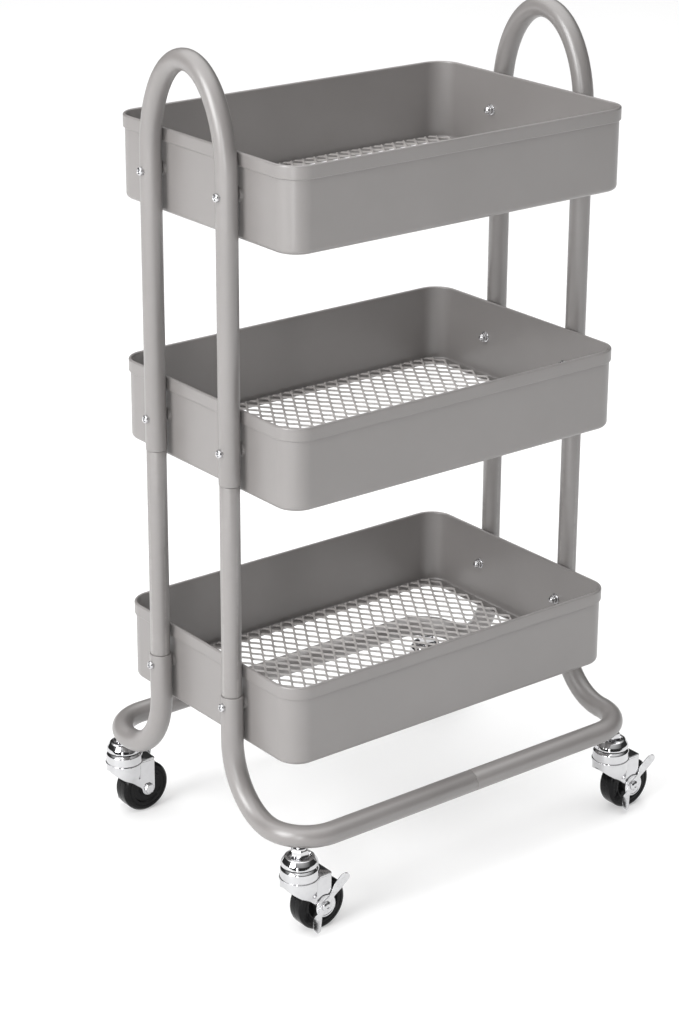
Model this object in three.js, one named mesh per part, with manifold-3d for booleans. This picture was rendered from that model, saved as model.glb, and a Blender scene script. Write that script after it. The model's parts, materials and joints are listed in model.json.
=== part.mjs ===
// Rolling utility cart: two hoop handles, four mid posts and four bent base legs
// carry three identical sheet-metal trays with expanded-metal floors, on four
// swivel casters with brakes. Millimetres, +Z up, origin on the floor under the
// middle. +X runs along the trays, -Y is the front.
import * as THREE from 'three';
import { mergeVertices } from 'three/addons/utils/BufferGeometryUtils.js';
import Module from 'manifold-3d';

const wasm = await Module();
wasm.setup();

// Overall sizes
const overallHeight = 724;
const trayLength = 356;
const trayWidth = 244;
const trayDepth = 71;
const rimLevels = { top: 651, middle: 440, bottom: 216 };

// Clearances
const seamGap = 0.3;
const socketClearance = 0.35;
const screwClearance = 0.3;
const runningClearance = 0.1;
const seatGap = 0.3;

// Tubes
const tubeWall = 1.2;
const handleRadius = 9;
const midPostRadius = 8.5;
const legRadius = 9.5;
const postToTrayGap = 0.1;
const postSpacing = 105;
const archHeight = 84;
const upperSeamBelowScrew = 28.5;
const lowerSeamAboveScrew = 9;
const spigotLength = 20;
const legSweep = 52.5;
const legBendHeight = 61;
const cornerBendRadius = 37;
const tubeSides = 12;
const archSteps = 12;
const bendSteps = 5;

// Trays
const trayWall = 1.5;
const rimHeight = 11;
const rimStandOut = 1.5;
const trayCornerRadius = 22;
const bottomEdgeRadius = 4;
const flangeWidth = 12;
const bossRadius = 5;
const cornerSegments = 2;

// Expanded-metal floors
const floorThickness = 2;
const floorWallGap = 3;
const floorBorder = 6;
const diamondPitchX = 70;
const diamondPitchY = 46;
const strandWidth = 6;

// Screws and domed nuts
const screwDrop = 34;
const screwRadius = 1.75;
const screwHeadRadius = 3.8;
const screwHeadHeight = 2.6;
const nutRadius = 3.9;
const nutHexHeight = 3.2;
const nutDomeHeight = 3.6;
const nutRoof = 1.4;

// Casters
const wheelRadius = 23.5;
const wheelWidth = 18;
const wheelShoulder = 3;
const casterTrail = 18;
const axleRadius = 3;
const wheelTopGap = 4;
const crownThickness = 2;
const crownRadius = 17;
const forkSideGap = 1;
const forkPlateThickness = 1.6;
const forkTipRadius = 6.5;
const raceRadius = 16.5;
const raceHeight = 10;
const swivelPinRadius = 5;
const swivelRivetRadius = 7.5;
const swivelRivetHeight = 2.6;
const capRadius = 14;
const capTopRadius = 11;
const capHeight = 9;
const neckRadius = 7;
const neckLength = 7.2;
const stemRadius = 4.5;
const stemInTube = 7;
const axleHeadRadius = 5;
const axleHeadHeight = 2.4;

// Brake levers
const leverThickness = 1.5;
const leverWidth = 8;
const leverHubRadius = 10;
const leverUpperArm = 33;
const leverLowerArm = 23;
const leverTabLength = 10;
const leverTabFlare = 5;
const leverAngle = THREE.MathUtils.degToRad(55);

// Sizes worked out from the ones above
const wallHalfLength = trayLength / 2 - rimStandOut;
const widestPost = Math.max(handleRadius, midPostRadius, legRadius);
const postX = trayLength / 2 + postToTrayGap + widestPost;
const postY = postSpacing / 2;
const baseY = postY + legSweep + cornerBendRadius;
const archStart = overallHeight - handleRadius - archHeight;
const upperSeam = rimLevels.middle - screwDrop - upperSeamBelowScrew;
const lowerSeam = rimLevels.bottom - screwDrop + lowerSeamAboveScrew;
const bendInset = cornerBendRadius * (1 - Math.SQRT1_2);
const casterX = postX - bendInset;
const casterY = baseY - bendInset;
const crownBottom = 2 * wheelRadius + wheelTopGap;
const raceTop = crownBottom + crownThickness + raceHeight;
const baseTubeLevel = raceTop + seatGap + capHeight + neckLength + legRadius;
const forkInner = wheelWidth / 2 + forkSideGap;
const forkOuter = forkInner + forkPlateThickness;
const leverInner = forkOuter + seatGap;
const leverOuter = leverInner + leverThickness;

const ends = { left: -1, right: 1 };
const sides = { front: -1, rear: 1 };

// Materials
const paint = new THREE.MeshStandardMaterial({ color: 0xa7a19e, roughness: 0.42, metalness: 0.35 });
const chrome = new THREE.MeshStandardMaterial({ color: 0xd8d8da, roughness: 0.12, metalness: 1 });
const steel = new THREE.MeshStandardMaterial({ color: 0xc4c5c7, roughness: 0.25, metalness: 1 });
const blackPlastic = new THREE.MeshStandardMaterial({ color: 0x0c0c0d, roughness: 0.28, metalness: 0 });

// Solids and booleans
function toSolid(geometry) {
  const bare = geometry.index ? geometry.toNonIndexed() : geometry.clone();
  bare.deleteAttribute('normal');
  bare.deleteAttribute('uv');
  const welded = mergeVertices(bare, 1e-4);
  const corners = [];
  for (let i = 0; i < welded.index.count; i += 3) {
    const [a, b, c] = [0, 1, 2].map((k) => welded.index.getX(i + k));
    if (a !== b && b !== c && c !== a) corners.push(a, b, c);
  }
  return new wasm.Manifold(new wasm.Mesh({
    numProp: 3,
    vertProperties: new Float32Array(welded.attributes.position.array),
    triVerts: new Uint32Array(corners),
  }));
}

function toGeometry(solid) {
  const mesh = solid.getMesh();
  const geometry = new THREE.BufferGeometry();
  geometry.setAttribute('position', new THREE.BufferAttribute(mesh.vertProperties, 3));
  geometry.setIndex(new THREE.BufferAttribute(mesh.triVerts, 1));
  geometry.computeVertexNormals();
  return geometry;
}

function joined(geometries) {
  return geometries.map(toSolid).reduce((whole, piece) => whole.add(piece));
}

function cut(solid, tools) {
  return tools.map(toSolid).reduce((rest, tool) => rest.subtract(tool), solid);
}

// A hole drawn with flat sides is made a little larger, so that its flats clear the round.
function holeRadius(radius, segments) {
  return radius / Math.cos(Math.PI / segments);
}

// Round bars and turned pieces about Z, then laid along another axis
function bar(radius, from, to, segments) {
  const geometry = new THREE.CylinderGeometry(radius, radius, to - from, segments);
  geometry.rotateX(Math.PI / 2);
  geometry.translate(0, 0, (from + to) / 2);
  return geometry;
}

function turned(profile, segments) {
  const points = profile.map(([radius, height]) => new THREE.Vector2(radius, height));
  const geometry = new THREE.LatheGeometry(points, segments);
  geometry.rotateX(Math.PI / 2);
  return geometry;
}

function alongX(geometry) {
  return geometry.rotateY(Math.PI / 2);
}

function alongY(geometry) {
  return geometry.rotateX(-Math.PI / 2);
}

function plate(shape, from, to, curveSegments = cornerSegments) {
  const geometry = new THREE.ExtrudeGeometry(shape, { depth: to - from, bevelEnabled: false, curveSegments });
  return geometry.translate(0, 0, from);
}

function roundedRectangle(length, width, radius) {
  const [x, y] = [length / 2 - radius, width / 2 - radius];
  const shape = new THREE.Shape();
  shape.absarc(x, y, radius, 0, Math.PI / 2);
  shape.absarc(-x, y, radius, Math.PI / 2, Math.PI);
  shape.absarc(-x, -y, radius, Math.PI, 1.5 * Math.PI);
  shape.absarc(x, -y, radius, 1.5 * Math.PI, 2 * Math.PI);
  shape.closePath();
  return shape;
}

// A path through chosen stations, so straight stretches need only one step
class StationPath extends THREE.Curve {
  constructor(stations) {
    super();
    this.stations = stations;
  }

  getPoint(t) {
    const place = t * (this.stations.length - 1);
    const index = Math.min(Math.floor(place), this.stations.length - 2);
    return new THREE.Vector3().lerpVectors(this.stations[index], this.stations[index + 1], place - index);
  }

  getPointAt(u) {
    return this.getPoint(u);
  }

  getTangentAt(u) {
    const last = this.stations.length - 1;
    const index = Math.round(u * last);
    const before = this.stations[Math.max(index - 1, 0)];
    const after = this.stations[Math.min(index + 1, last)];
    return new THREE.Vector3().subVectors(after, before).normalize();
  }
}

// Stations on an elliptical arc: centre + across * cos(angle) + along * sin(angle)
function arcStations(centre, across, along, fromAngle, toAngle, steps) {
  return Array.from({ length: steps + 1 }, (_, i) => {
    const angle = fromAngle + ((toAngle - fromAngle) * i) / steps;
    return centre.clone()
      .addScaledVector(across, Math.cos(angle))
      .addScaledVector(along, Math.sin(angle));
  });
}

function tube(stations, radius) {
  const section = new THREE.Shape();
  section.absarc(0, 0, radius, 0, 2 * Math.PI);
  const bore = new THREE.Path();
  bore.absarc(0, 0, radius - tubeWall, 0, 2 * Math.PI, true);
  section.holes.push(bore);
  return new THREE.ExtrudeGeometry(section, {
    extrudePath: new StationPath(stations),
    steps: stations.length - 1,
    curveSegments: tubeSides / 2,
  });
}

function screwHole(x, y, z, reach) {
  return alongX(bar(screwRadius + screwClearance, -reach, reach, 8)).translate(x, y, z);
}

// Hoop handle: one tube from the upper seam of the front post, over the arch and down the rear post
function handle() {
  const across = new THREE.Vector3(0, -postY, 0);
  const up = new THREE.Vector3(0, 0, archHeight);
  const arch = arcStations(new THREE.Vector3(0, 0, archStart), across, up, 0, Math.PI, archSteps);
  const foot = upperSeam + seamGap / 2;
  const stations = [new THREE.Vector3(0, -postY, foot), ...arch, new THREE.Vector3(0, postY, foot)];
  const holes = [rimLevels.top, rimLevels.middle].flatMap((rim) => [-postY, postY]
    .map((y) => screwHole(0, y, rim - screwDrop, 2 * handleRadius)));
  return toGeometry(cut(toSolid(tube(stations, handleRadius)), holes));
}

// Mid post: a straight tube, swaged at both ends into the handle above and the leg below
function midPost() {
  const upperSpigot = handleRadius - tubeWall - socketClearance;
  const lowerSpigot = legRadius - tubeWall - socketClearance;
  const lower = lowerSeam + seamGap / 2;
  const upper = upperSeam - seamGap / 2;
  const post = turned([
    [lowerSpigot, lower - spigotLength],
    [lowerSpigot, lower],
    [midPostRadius, lower],
    [midPostRadius, upper],
    [upperSpigot, upper],
    [upperSpigot, upper + spigotLength],
    [upperSpigot - tubeWall, upper + spigotLength],
    [upperSpigot - tubeWall, lower - spigotLength],
    [lowerSpigot, lower - spigotLength],
  ], tubeSides);
  return toGeometry(cut(toSolid(post), [screwHole(0, 0, rimLevels.bottom - screwDrop, 2 * legRadius)]));
}

// Base leg: down from the lower seam, swept outward, round the corner and along the base to the
// middle. The left legs end in a spigot that plugs into the right legs.
function baseLeg(end, side) {
  const outX = new THREE.Vector3(end, 0, 0);
  const outY = new THREE.Vector3(0, side, 0);
  const down = new THREE.Vector3(0, 0, -1);
  const sweepCentre = new THREE.Vector3(end * postX, side * (postY + legSweep), baseTubeLevel + legBendHeight);
  const sweep = arcStations(sweepCentre, outY.clone().multiplyScalar(-legSweep),
    down.clone().multiplyScalar(legBendHeight), 0, Math.PI / 2, bendSteps);
  const cornerCentre = new THREE.Vector3(
    end * (postX - cornerBendRadius), side * (baseY - cornerBendRadius), baseTubeLevel);
  const corner = arcStations(cornerCentre, outX.clone().multiplyScalar(cornerBendRadius),
    outY.clone().multiplyScalar(cornerBendRadius), 0, Math.PI / 2, bendSteps);
  const stations = [
    new THREE.Vector3(end * postX, side * postY, lowerSeam - seamGap / 2),
    ...sweep,
    ...corner.slice(1),
    new THREE.Vector3(end * seamGap / 2, side * baseY, baseTubeLevel),
  ];
  const screwLevel = rimLevels.bottom - screwDrop;
  const stemHole = bar(stemRadius + screwClearance, baseTubeLevel - 2 * legRadius, baseTubeLevel, 12)
    .translate(end * casterX, side * casterY, 0);
  const leg = end < 0 ? toSolid(tube(stations, legRadius)).add(toSolid(legSpigot(side)))
    : toSolid(tube(stations, legRadius));
  return toGeometry(cut(leg, [screwHole(end * postX, side * postY, screwLevel, 2 * legRadius), stemHole]));
}

// The swaged end at the middle of the base: it starts inside the left leg's wall
function legSpigot(side) {
  const root = legRadius - tubeWall / 2;
  const spigot = legRadius - tubeWall - socketClearance;
  const shoulder = -2 * seamGap;
  return alongX(turned([
    [root, -spigotLength],
    [root, shoulder],
    [spigot, shoulder],
    [spigot, spigotLength],
    [spigot - tubeWall, spigotLength],
    [spigot - tubeWall, -spigotLength],
    [root, -spigotLength],
  ], tubeSides)).translate(0, side * baseY, baseTubeLevel);
}

// Tray: a deep-drawn pan with a folded rim band, a rounded bottom edge and an inward flange.
// Its top is at z = 0, so that it is placed by its rim.
function softBlock(inset, edgeRadius) {
  const [length, width] = [trayLength - 2 * inset, trayWidth - 2 * inset];
  const cornerRadius = Math.max(trayCornerRadius - inset, edgeRadius + 1);
  const shape = roundedRectangle(length - 2 * edgeRadius, width - 2 * edgeRadius, cornerRadius - edgeRadius);
  const geometry = new THREE.ExtrudeGeometry(shape, {
    depth: trayDepth,
    bevelThickness: edgeRadius,
    bevelSize: edgeRadius,
    bevelSegments: 2,
    curveSegments: cornerSegments,
  });
  return geometry.translate(0, 0, edgeRadius);
}

function tray() {
  const inner = rimStandOut + trayWall;
  const flange = rimStandOut + flangeWidth;
  const screwLevel = trayDepth - screwDrop;
  const bosses = [];
  const holes = [];
  for (const end of Object.values(ends)) {
    for (const side of Object.values(sides)) {
      const reach = [end * (wallHalfLength - trayWall / 2), end * (postX - widestPost - seatGap)];
      bosses.push(alongX(bar(bossRadius, Math.min(...reach), Math.max(...reach), 12))
        .translate(0, side * postY, screwLevel));
      holes.push(screwHole(end * wallHalfLength, side * postY, screwLevel, 4 * trayWall));
    }
  }
  const rim = plate(roundedRectangle(trayLength, trayWidth, trayCornerRadius), trayDepth - rimHeight, trayDepth);
  const cavity = softBlock(inner, bottomEdgeRadius - trayWall).translate(0, 0, trayWall);
  const opening = plate(roundedRectangle(trayLength - 2 * flange, trayWidth - 2 * flange,
    trayCornerRadius - rimStandOut), -trayWall, 2 * trayWall);
  const above = new THREE.BoxGeometry(2 * trayLength, 2 * trayWidth, trayDepth)
    .translate(0, 0, 1.5 * trayDepth);
  const pan = joined([softBlock(rimStandOut, bottomEdgeRadius), rim, ...bosses]);
  return toGeometry(cut(pan, [cavity, opening, above, ...holes])).translate(0, 0, -trayDepth);
}

// Floor: a sheet with staggered diamond openings that lies on the tray's flange.
// Its underside is at z = 0.
function meshFloor() {
  const inset = rimStandOut + trayWall + floorWallGap;
  const [length, width] = [trayLength - 2 * inset, trayWidth - 2 * inset];
  const sheet = roundedRectangle(length, width, trayCornerRadius - inset);
  const [halfX, halfY] = [(diamondPitchX - strandWidth) / 2, (diamondPitchY - strandWidth) / 2];
  const fitsAt = (x, y) => Math.abs(x) + halfX + floorBorder < length / 2
    && Math.abs(y) + halfY + floorBorder < width / 2;
  const columns = Math.ceil(length / diamondPitchX);
  const rows = Math.ceil(width / diamondPitchY);
  for (let column = -columns; column <= columns; column += 1) {
    for (let row = -rows; row <= rows; row += 1) {
      const [x, y] = [(column * diamondPitchX) / 2, (row * diamondPitchY) / 2];
      if ((column + row) % 2 === 0 && fitsAt(x, y)) {
        const diamond = new THREE.Path();
        diamond.moveTo(x + halfX, y);
        diamond.lineTo(x, y - halfY);
        diamond.lineTo(x - halfX, y);
        diamond.lineTo(x, y + halfY);
        diamond.closePath();
        sheet.holes.push(diamond);
      }
    }
  }
  return plate(sheet, 0, floorThickness);
}

// Fasteners point along +X, from the head on the post to the domed nut inside the tray.
// The screw's head seats at x = 0.
function screw(length) {
  return alongX(turned([
    [0, -screwHeadHeight],
    [screwHeadRadius * 0.6, -screwHeadHeight],
    [screwHeadRadius, -screwHeadHeight / 2],
    [screwHeadRadius, 0],
    [screwRadius, 0],
    [screwRadius, length],
    [0, length],
  ], 10));
}

function domedNut() {
  const top = nutHexHeight + nutDomeHeight;
  const bore = holeRadius(screwRadius + runningClearance, 10);
  return alongX(turned([
    [bore, 0],
    [nutRadius, 0],
    [nutRadius, nutHexHeight],
    [nutRadius * 0.75, nutHexHeight + nutDomeHeight * 0.6],
    [0, top],
    [0, top - nutRoof],
    [bore, top - nutRoof],
    [bore, 0],
  ], 10));
}

// Casters are drawn about the swivel axis, with the wheel trailing along +X
function casterStem() {
  const bottom = crownBottom - seatGap - swivelRivetHeight;
  const capBottom = raceTop + seatGap;
  const neckTop = baseTubeLevel - legRadius - seatGap;
  return turned([
    [0, bottom],
    [swivelRivetRadius, bottom],
    [swivelRivetRadius, crownBottom - seatGap],
    [swivelPinRadius, crownBottom - seatGap],
    [swivelPinRadius, capBottom],
    [capRadius, capBottom],
    [capRadius, capBottom + capHeight / 2],
    [capTopRadius, capBottom + capHeight],
    [neckRadius, capBottom + capHeight],
    [neckRadius, neckTop],
    [stemRadius, neckTop],
    [stemRadius, neckTop + stemInTube],
    [0, neckTop + stemInTube],
  ], 12);
}

function casterFork() {
  const plateEnd = casterTrail + forkTipRadius;
  const meeting = Math.asin(forkOuter / crownRadius);
  const crown = new THREE.Shape();
  crown.moveTo(plateEnd, -forkOuter);
  crown.lineTo(plateEnd, forkOuter);
  crown.absarc(0, 0, crownRadius, meeting, 2 * Math.PI - meeting);
  crown.closePath();
  const frontX = -crownRadius * Math.cos(meeting);
  const side = new THREE.Shape();
  side.moveTo(frontX, crownBottom + crownThickness / 2);
  side.quadraticCurveTo(frontX + forkTipRadius, crownBottom - forkTipRadius,
    casterTrail - forkTipRadius, wheelRadius);
  side.absarc(casterTrail, wheelRadius, forkTipRadius, Math.PI, 2 * Math.PI);
  side.lineTo(plateEnd, crownBottom + crownThickness / 2);
  side.closePath();
  const sidePlate = () => plate(side, -forkPlateThickness / 2, forkPlateThickness / 2, 4).rotateX(Math.PI / 2);
  const plateY = (forkInner + forkOuter) / 2;
  const whole = joined([
    plate(crown, crownBottom, crownBottom + crownThickness, 6),
    bar(raceRadius, crownBottom + crownThickness / 2, raceTop, 20),
    sidePlate().translate(0, plateY, 0),
    sidePlate().translate(0, -plateY, 0),
  ]);
  const pinHole = holeRadius(swivelPinRadius + runningClearance, 12);
  const axleHole = holeRadius(axleRadius + runningClearance, 12);
  return toGeometry(cut(whole, [
    bar(pinHole, crownBottom - seatGap, raceTop + seatGap, 12),
    alongY(bar(axleHole, -2 * forkOuter, 2 * forkOuter, 12)).translate(casterTrail, 0, wheelRadius),
  ]));
}

// The wheel, axle and lever are drawn about the axle, which lies along Y
function casterWheel() {
  const bore = holeRadius(axleRadius + runningClearance, 24);
  const [half, edge] = [wheelWidth / 2, wheelWidth / 2 - wheelShoulder];
  const shoulderRadius = wheelRadius - wheelShoulder;
  return alongY(turned([
    [bore, -half],
    [shoulderRadius, -half],
    [wheelRadius, -edge],
    [wheelRadius, edge],
    [shoulderRadius, half],
    [bore, half],
    [bore, -half],
  ], 24));
}

function casterAxle(side) {
  const leverEnd = leverOuter + seatGap;
  const plainEnd = -forkOuter - seatGap;
  const profile = [
    [0, plainEnd - axleHeadHeight],
    [axleHeadRadius, plainEnd - axleHeadHeight],
    [axleHeadRadius, plainEnd],
    [axleRadius, plainEnd],
    [axleRadius, leverEnd],
    [axleHeadRadius, leverEnd],
    [axleHeadRadius, leverEnd + axleHeadHeight],
    [0, leverEnd + axleHeadHeight],
  ];
  const axle = alongY(turned(profile, 12));
  return side > 0 ? axle : axle.rotateZ(Math.PI);
}

// Brake lever: a bent strip with a round hub on the outside of the fork. The strip is drawn
// along X with its thickness along Y, then turned about the axle. Side is 1 where it faces +Y.
function brakeLever(side) {
  const upper = leverUpperArm - leverTabLength;
  const lower = leverLowerArm - leverTabLength;
  const outline = [
    [-lower, leverInner],
    [upper, leverInner],
    [leverUpperArm, leverInner + leverTabFlare],
    [leverUpperArm, leverOuter + leverTabFlare],
    [upper, leverOuter],
    [-lower, leverOuter],
    [-leverLowerArm, leverOuter + leverTabFlare],
    [-leverLowerArm, leverInner + leverTabFlare],
  ];
  const strip = new THREE.Shape(outline.map(([x, y]) => new THREE.Vector2(x, side * y)));
  const faces = [side * leverInner, side * leverOuter];
  const lever = joined([
    plate(strip, -leverWidth / 2, leverWidth / 2).rotateY(-leverAngle),
    alongY(bar(leverHubRadius, Math.min(...faces), Math.max(...faces), 16)),
  ]);
  const axleHole = holeRadius(axleRadius + runningClearance, 12);
  return toGeometry(cut(lever, [alongY(bar(axleHole, -2 * leverOuter, 2 * leverOuter, 12))]));
}

// Assembly
const cart = new THREE.Group();

function add(parent, name, geometry, material, x = 0, y = 0, z = 0) {
  const mesh = new THREE.Mesh(geometry, material);
  mesh.name = name;
  mesh.position.set(x, y, z);
  parent.add(mesh);
  return mesh;
}

const screwSeats = { top: handleRadius, middle: handleRadius, bottom: legRadius };
const nutSeat = wallHalfLength - trayWall - seatGap;
const floorLevel = trayDepth - trayWall - seatGap;
const trayGeometry = tray();
const floorGeometry = meshFloor();
for (const [level, rim] of Object.entries(rimLevels)) {
  add(cart, `tray_${level}`, trayGeometry, paint, 0, 0, rim);
  add(cart, `mesh_floor_${level}`, floorGeometry, paint, 0, 0, rim - floorLevel);
}

for (const [endName, end] of Object.entries(ends)) {
  add(cart, `handle_${endName}`, handle(), paint, end * postX);
  for (const [sideName, side] of Object.entries(sides)) {
    const corner = `${sideName}_${endName}`;
    add(cart, `mid_post_${corner}`, midPost(), paint, end * postX, side * postY);
    add(cart, `base_leg_${corner}`, baseLeg(end, side), paint);
    for (const [level, rim] of Object.entries(rimLevels)) {
      const seat = postX + screwSeats[level] + seatGap;
      const reach = seat - nutSeat + nutHexHeight;
      const fixing = new THREE.Group();
      fixing.position.set(end * seat, side * postY, rim - screwDrop);
      fixing.rotation.z = end > 0 ? Math.PI : 0;
      add(fixing, `screw_${level}_${corner}`, screw(reach), steel);
      add(fixing, `nut_${level}_${corner}`, domedNut(), steel, seat - nutSeat);
      cart.add(fixing);
    }
    const caster = new THREE.Group();
    caster.position.set(end * casterX, side * casterY, 0);
    add(caster, `caster_stem_${corner}`, casterStem(), chrome);
    add(caster, `caster_fork_${corner}`, casterFork(), chrome);
    add(caster, `caster_wheel_${corner}`, casterWheel(), blackPlastic, casterTrail, 0, wheelRadius);
    add(caster, `caster_axle_${corner}`, casterAxle(side), steel, casterTrail, 0, wheelRadius);
    add(caster, `brake_lever_${corner}`, brakeLever(side), steel, casterTrail, 0, wheelRadius);
    cart.add(caster);
  }
}

export default cart;
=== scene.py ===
# Rolling utility cart: fine pieces, finishes, floor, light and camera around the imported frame.
import json
import math

import bmesh
import bpy
from mathutils import Matrix, Vector


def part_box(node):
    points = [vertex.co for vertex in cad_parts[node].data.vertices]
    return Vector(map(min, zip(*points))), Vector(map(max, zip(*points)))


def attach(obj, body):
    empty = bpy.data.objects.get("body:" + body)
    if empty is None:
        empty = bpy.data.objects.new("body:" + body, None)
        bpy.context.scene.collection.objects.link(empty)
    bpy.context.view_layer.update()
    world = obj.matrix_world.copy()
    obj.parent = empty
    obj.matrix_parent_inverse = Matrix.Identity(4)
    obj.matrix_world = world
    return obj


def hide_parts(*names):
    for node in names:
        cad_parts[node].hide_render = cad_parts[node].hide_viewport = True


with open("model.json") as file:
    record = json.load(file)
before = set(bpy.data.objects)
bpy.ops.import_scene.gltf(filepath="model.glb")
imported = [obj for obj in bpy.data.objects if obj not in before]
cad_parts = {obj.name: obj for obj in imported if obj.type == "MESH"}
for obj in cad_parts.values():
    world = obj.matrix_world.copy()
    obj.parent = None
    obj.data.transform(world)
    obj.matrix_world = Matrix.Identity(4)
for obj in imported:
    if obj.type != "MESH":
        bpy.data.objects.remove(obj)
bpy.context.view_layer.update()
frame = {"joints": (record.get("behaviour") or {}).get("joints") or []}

mm = 0.001
ends = {"left": -1, "right": 1}
sides = {"front": -1, "rear": 1}
levels = ("top", "middle", "bottom")
corners = [(f"{side}_{end}", ends[end], sides[side]) for end in ends for side in sides]
jointAt = {joint["name"]: Vector(joint["pos_m"]) / mm for joint in frame["joints"]}
weldDistance = 0.002  # points of one piece that are nearer than this become one


# outlines and forms are all in millimetres

def boxOf(node):
    low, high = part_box(node)
    return low / mm, high / mm


def softened(points, closed=False, steps=5):
    # each point is (x, y) or (x, y, radius); a radius rounds that corner
    outline = []
    count = len(points)
    for i, point in enumerate(points):
        here = Vector(point[:2])
        radius = point[2] if len(point) > 2 else 0
        if not radius or (not closed and i in (0, count - 1)):
            outline.append(here)
            continue
        before = Vector(points[i - 1][:2]) - here
        after = Vector(points[(i + 1) % count][:2]) - here
        half = before.angle(after) / 2
        run = radius / math.tan(half)
        centre = here + (before.normalized() + after.normalized()).normalized() * (radius / math.sin(half))
        first = here + before.normalized() * run - centre
        last = here + after.normalized() * run - centre
        turn = first.angle_signed(last)
        for k in range(steps + 1):
            outline.append(centre + Matrix.Rotation(-turn * k / steps, 2) @ first)
    return outline


def raised(profile, base):
    # the same profile with its heights counted from base
    return [(point[0], base + point[1], *point[2:]) for point in profile]


def roundedLoop(halfX, halfY, radius, steps):
    loop = []
    for quarter, (signX, signY) in enumerate(((1, 1), (-1, 1), (-1, -1), (1, -1))):
        for k in range(steps + 1):
            angle = math.pi / 2 * (quarter + k / steps)
            loop.append((signX * (halfX - radius) + radius * math.cos(angle),
                         signY * (halfY - radius) + radius * math.sin(angle)))
    return loop


def turnTo(direction):
    return Vector((0, 0, 1)).rotation_difference(Vector(direction)).to_matrix().to_4x4()


def smooth(value, low, high):
    share = min(1, max(0, (value - low) / (high - low)))
    return share * share * (3 - 2 * share)


class Form:
    # collects points and faces, then becomes one piece
    def __init__(self):
        self.points = []
        self.faces = []

    def loft(self, rings, closed=False, around=True, capped=False):
        # closed joins the last ring to the first, around joins the two ends of each ring
        base, size, count = len(self.points), len(rings[0]), len(rings)
        for ring in rings:
            self.points.extend(Vector(point) for point in ring)
        for i in range(count if closed else count - 1):
            for j in range(size if around else size - 1):
                near, far = base + i * size, base + (i + 1) % count * size
                step = (j + 1) % size
                self.faces.append((near + j, near + step, far + step, far + j))
        if capped:
            self.faces.append([base + j for j in reversed(range(size))])
            self.faces.append([base + (count - 1) * size + j for j in range(size)])
        return self

    def turned(self, profile, place, steps, closed=False, flats=0):
        # profile points are (radius, height) about Z; flats makes the rings polygons with that many sides
        rings = []
        for radius, height in profile:
            ring = []
            for k in range(steps):
                angle = 2 * math.pi * k / steps
                reach = radius
                if flats:
                    part = math.pi / flats
                    reach = radius * math.cos(part) / math.cos(angle % (2 * part) - part)
                ring.append(place @ Vector((reach * math.cos(angle), reach * math.sin(angle), height)))
            rings.append(ring)
        return self.loft(rings, closed=closed)

    def piece(self, name, finish, body, slot, nodes=(), sharp=38, weighted=False, sheet=0):
        # edges over sharp degrees stay crisp; sheet is the thickness of a form that has none
        shape = bpy.data.meshes.new(name)
        shape.from_pydata([point * mm for point in self.points], [], self.faces)
        work = bmesh.new()
        work.from_mesh(shape)
        bmesh.ops.remove_doubles(work, verts=work.verts, dist=weldDistance * mm)
        bmesh.ops.recalc_face_normals(work, faces=work.faces)
        work.to_mesh(shape)
        work.free()
        shape.shade_smooth()
        shape.set_sharp_from_angle(angle=math.radians(sharp))
        shape.materials.append(finish)
        made = bpy.data.objects.new(name, shape)
        bpy.context.scene.collection.objects.link(made)
        if sheet:
            skin = made.modifiers.new("sheet", "SOLIDIFY")
            skin.thickness, skin.offset = sheet * mm, -1
        if weighted:
            made.modifiers.new("flatFaces", "WEIGHTED_NORMAL").keep_sharp = True
        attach(made, body)
        if nodes:
            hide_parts(*nodes)


# finishes

class Wire:
    # a shader socket that can be used in sums
    def __init__(self, nodes, socket):
        self.nodes = nodes
        self.socket = socket

    def sum(self, operation, first, second):
        return self.nodes.add("ShaderNodeMath", {"operation": operation}, {0: first, 1: second})

    def __add__(self, other):
        return self.sum("ADD", self, other)

    def __radd__(self, other):
        return self.sum("ADD", other, self)

    def __sub__(self, other):
        return self.sum("SUBTRACT", self, other)

    def __rsub__(self, other):
        return self.sum("SUBTRACT", other, self)

    def __mul__(self, other):
        return self.sum("MULTIPLY", self, other)

    def __rmul__(self, other):
        return self.sum("MULTIPLY", other, self)


class Nodes:
    # one node tree, of a finish or of the world
    def __init__(self, tree):
        self.tree = tree

    def add(self, kind, settings=None, inputs=None, output=0):
        # stops are a ramp's (place, brightness) pairs, from low to high
        node = self.tree.nodes.new(kind)
        for setting, value in (settings or {}).items():
            if setting == "stops":
                for spot, shade in value[2:]:
                    node.color_ramp.elements.new(spot)
                for element, (spot, shade) in zip(node.color_ramp.elements, value):
                    element.position, element.color = spot, (shade, shade, shade, 1)
            else:
                setattr(node, setting, value)
        for socket, value in (inputs or {}).items():
            self.feed(node.inputs[socket], value)
        return Wire(self, node.outputs[output])

    def feed(self, socket, value):
        if isinstance(value, Wire):
            self.tree.links.new(value.socket, socket)
        else:
            socket.default_value = value


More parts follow.
